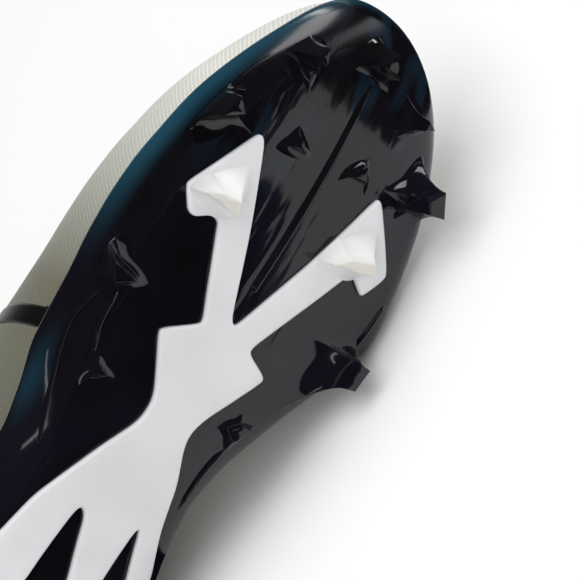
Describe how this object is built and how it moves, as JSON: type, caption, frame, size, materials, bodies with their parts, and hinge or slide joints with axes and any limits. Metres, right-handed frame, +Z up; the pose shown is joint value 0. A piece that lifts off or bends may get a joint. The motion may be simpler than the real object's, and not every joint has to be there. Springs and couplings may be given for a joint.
{
  "type": "football cleat",
  "caption": "Low moulded football cleat for the right foot: hollow upper, glossy plate with blade-like studs, white chassis, tongue, insole and lacing.",
  "frame": {"origin": "on the floor under the middle of the shoe's box, with the shoe lying on its medial side", "axes": "+X toward the toe, +Y from the sole toward the collar, +Z up"},
  "size_m": [0.2852, 0.1294, 0.0957],
  "materials": {
    "upper_knit": "off-white coated knit",
    "tongue_knit": "off-white padded knit",
    "insole_foam": "dark foam with a fabric top",
    "plate_tpu": "glossy moulded, translucent teal at the rim",
    "spine_tpu": "satin white moulded",
    "lace_polyester": "flat woven lace"
  },
  "bodies": {
    "root": {"upper": "upper_knit", "tongue": "tongue_knit", "insole": "insole_foam", "outsole": "plate_tpu", "spine": "spine_tpu", "lace": "lace_polyester"}
  },
  "joints": []
}
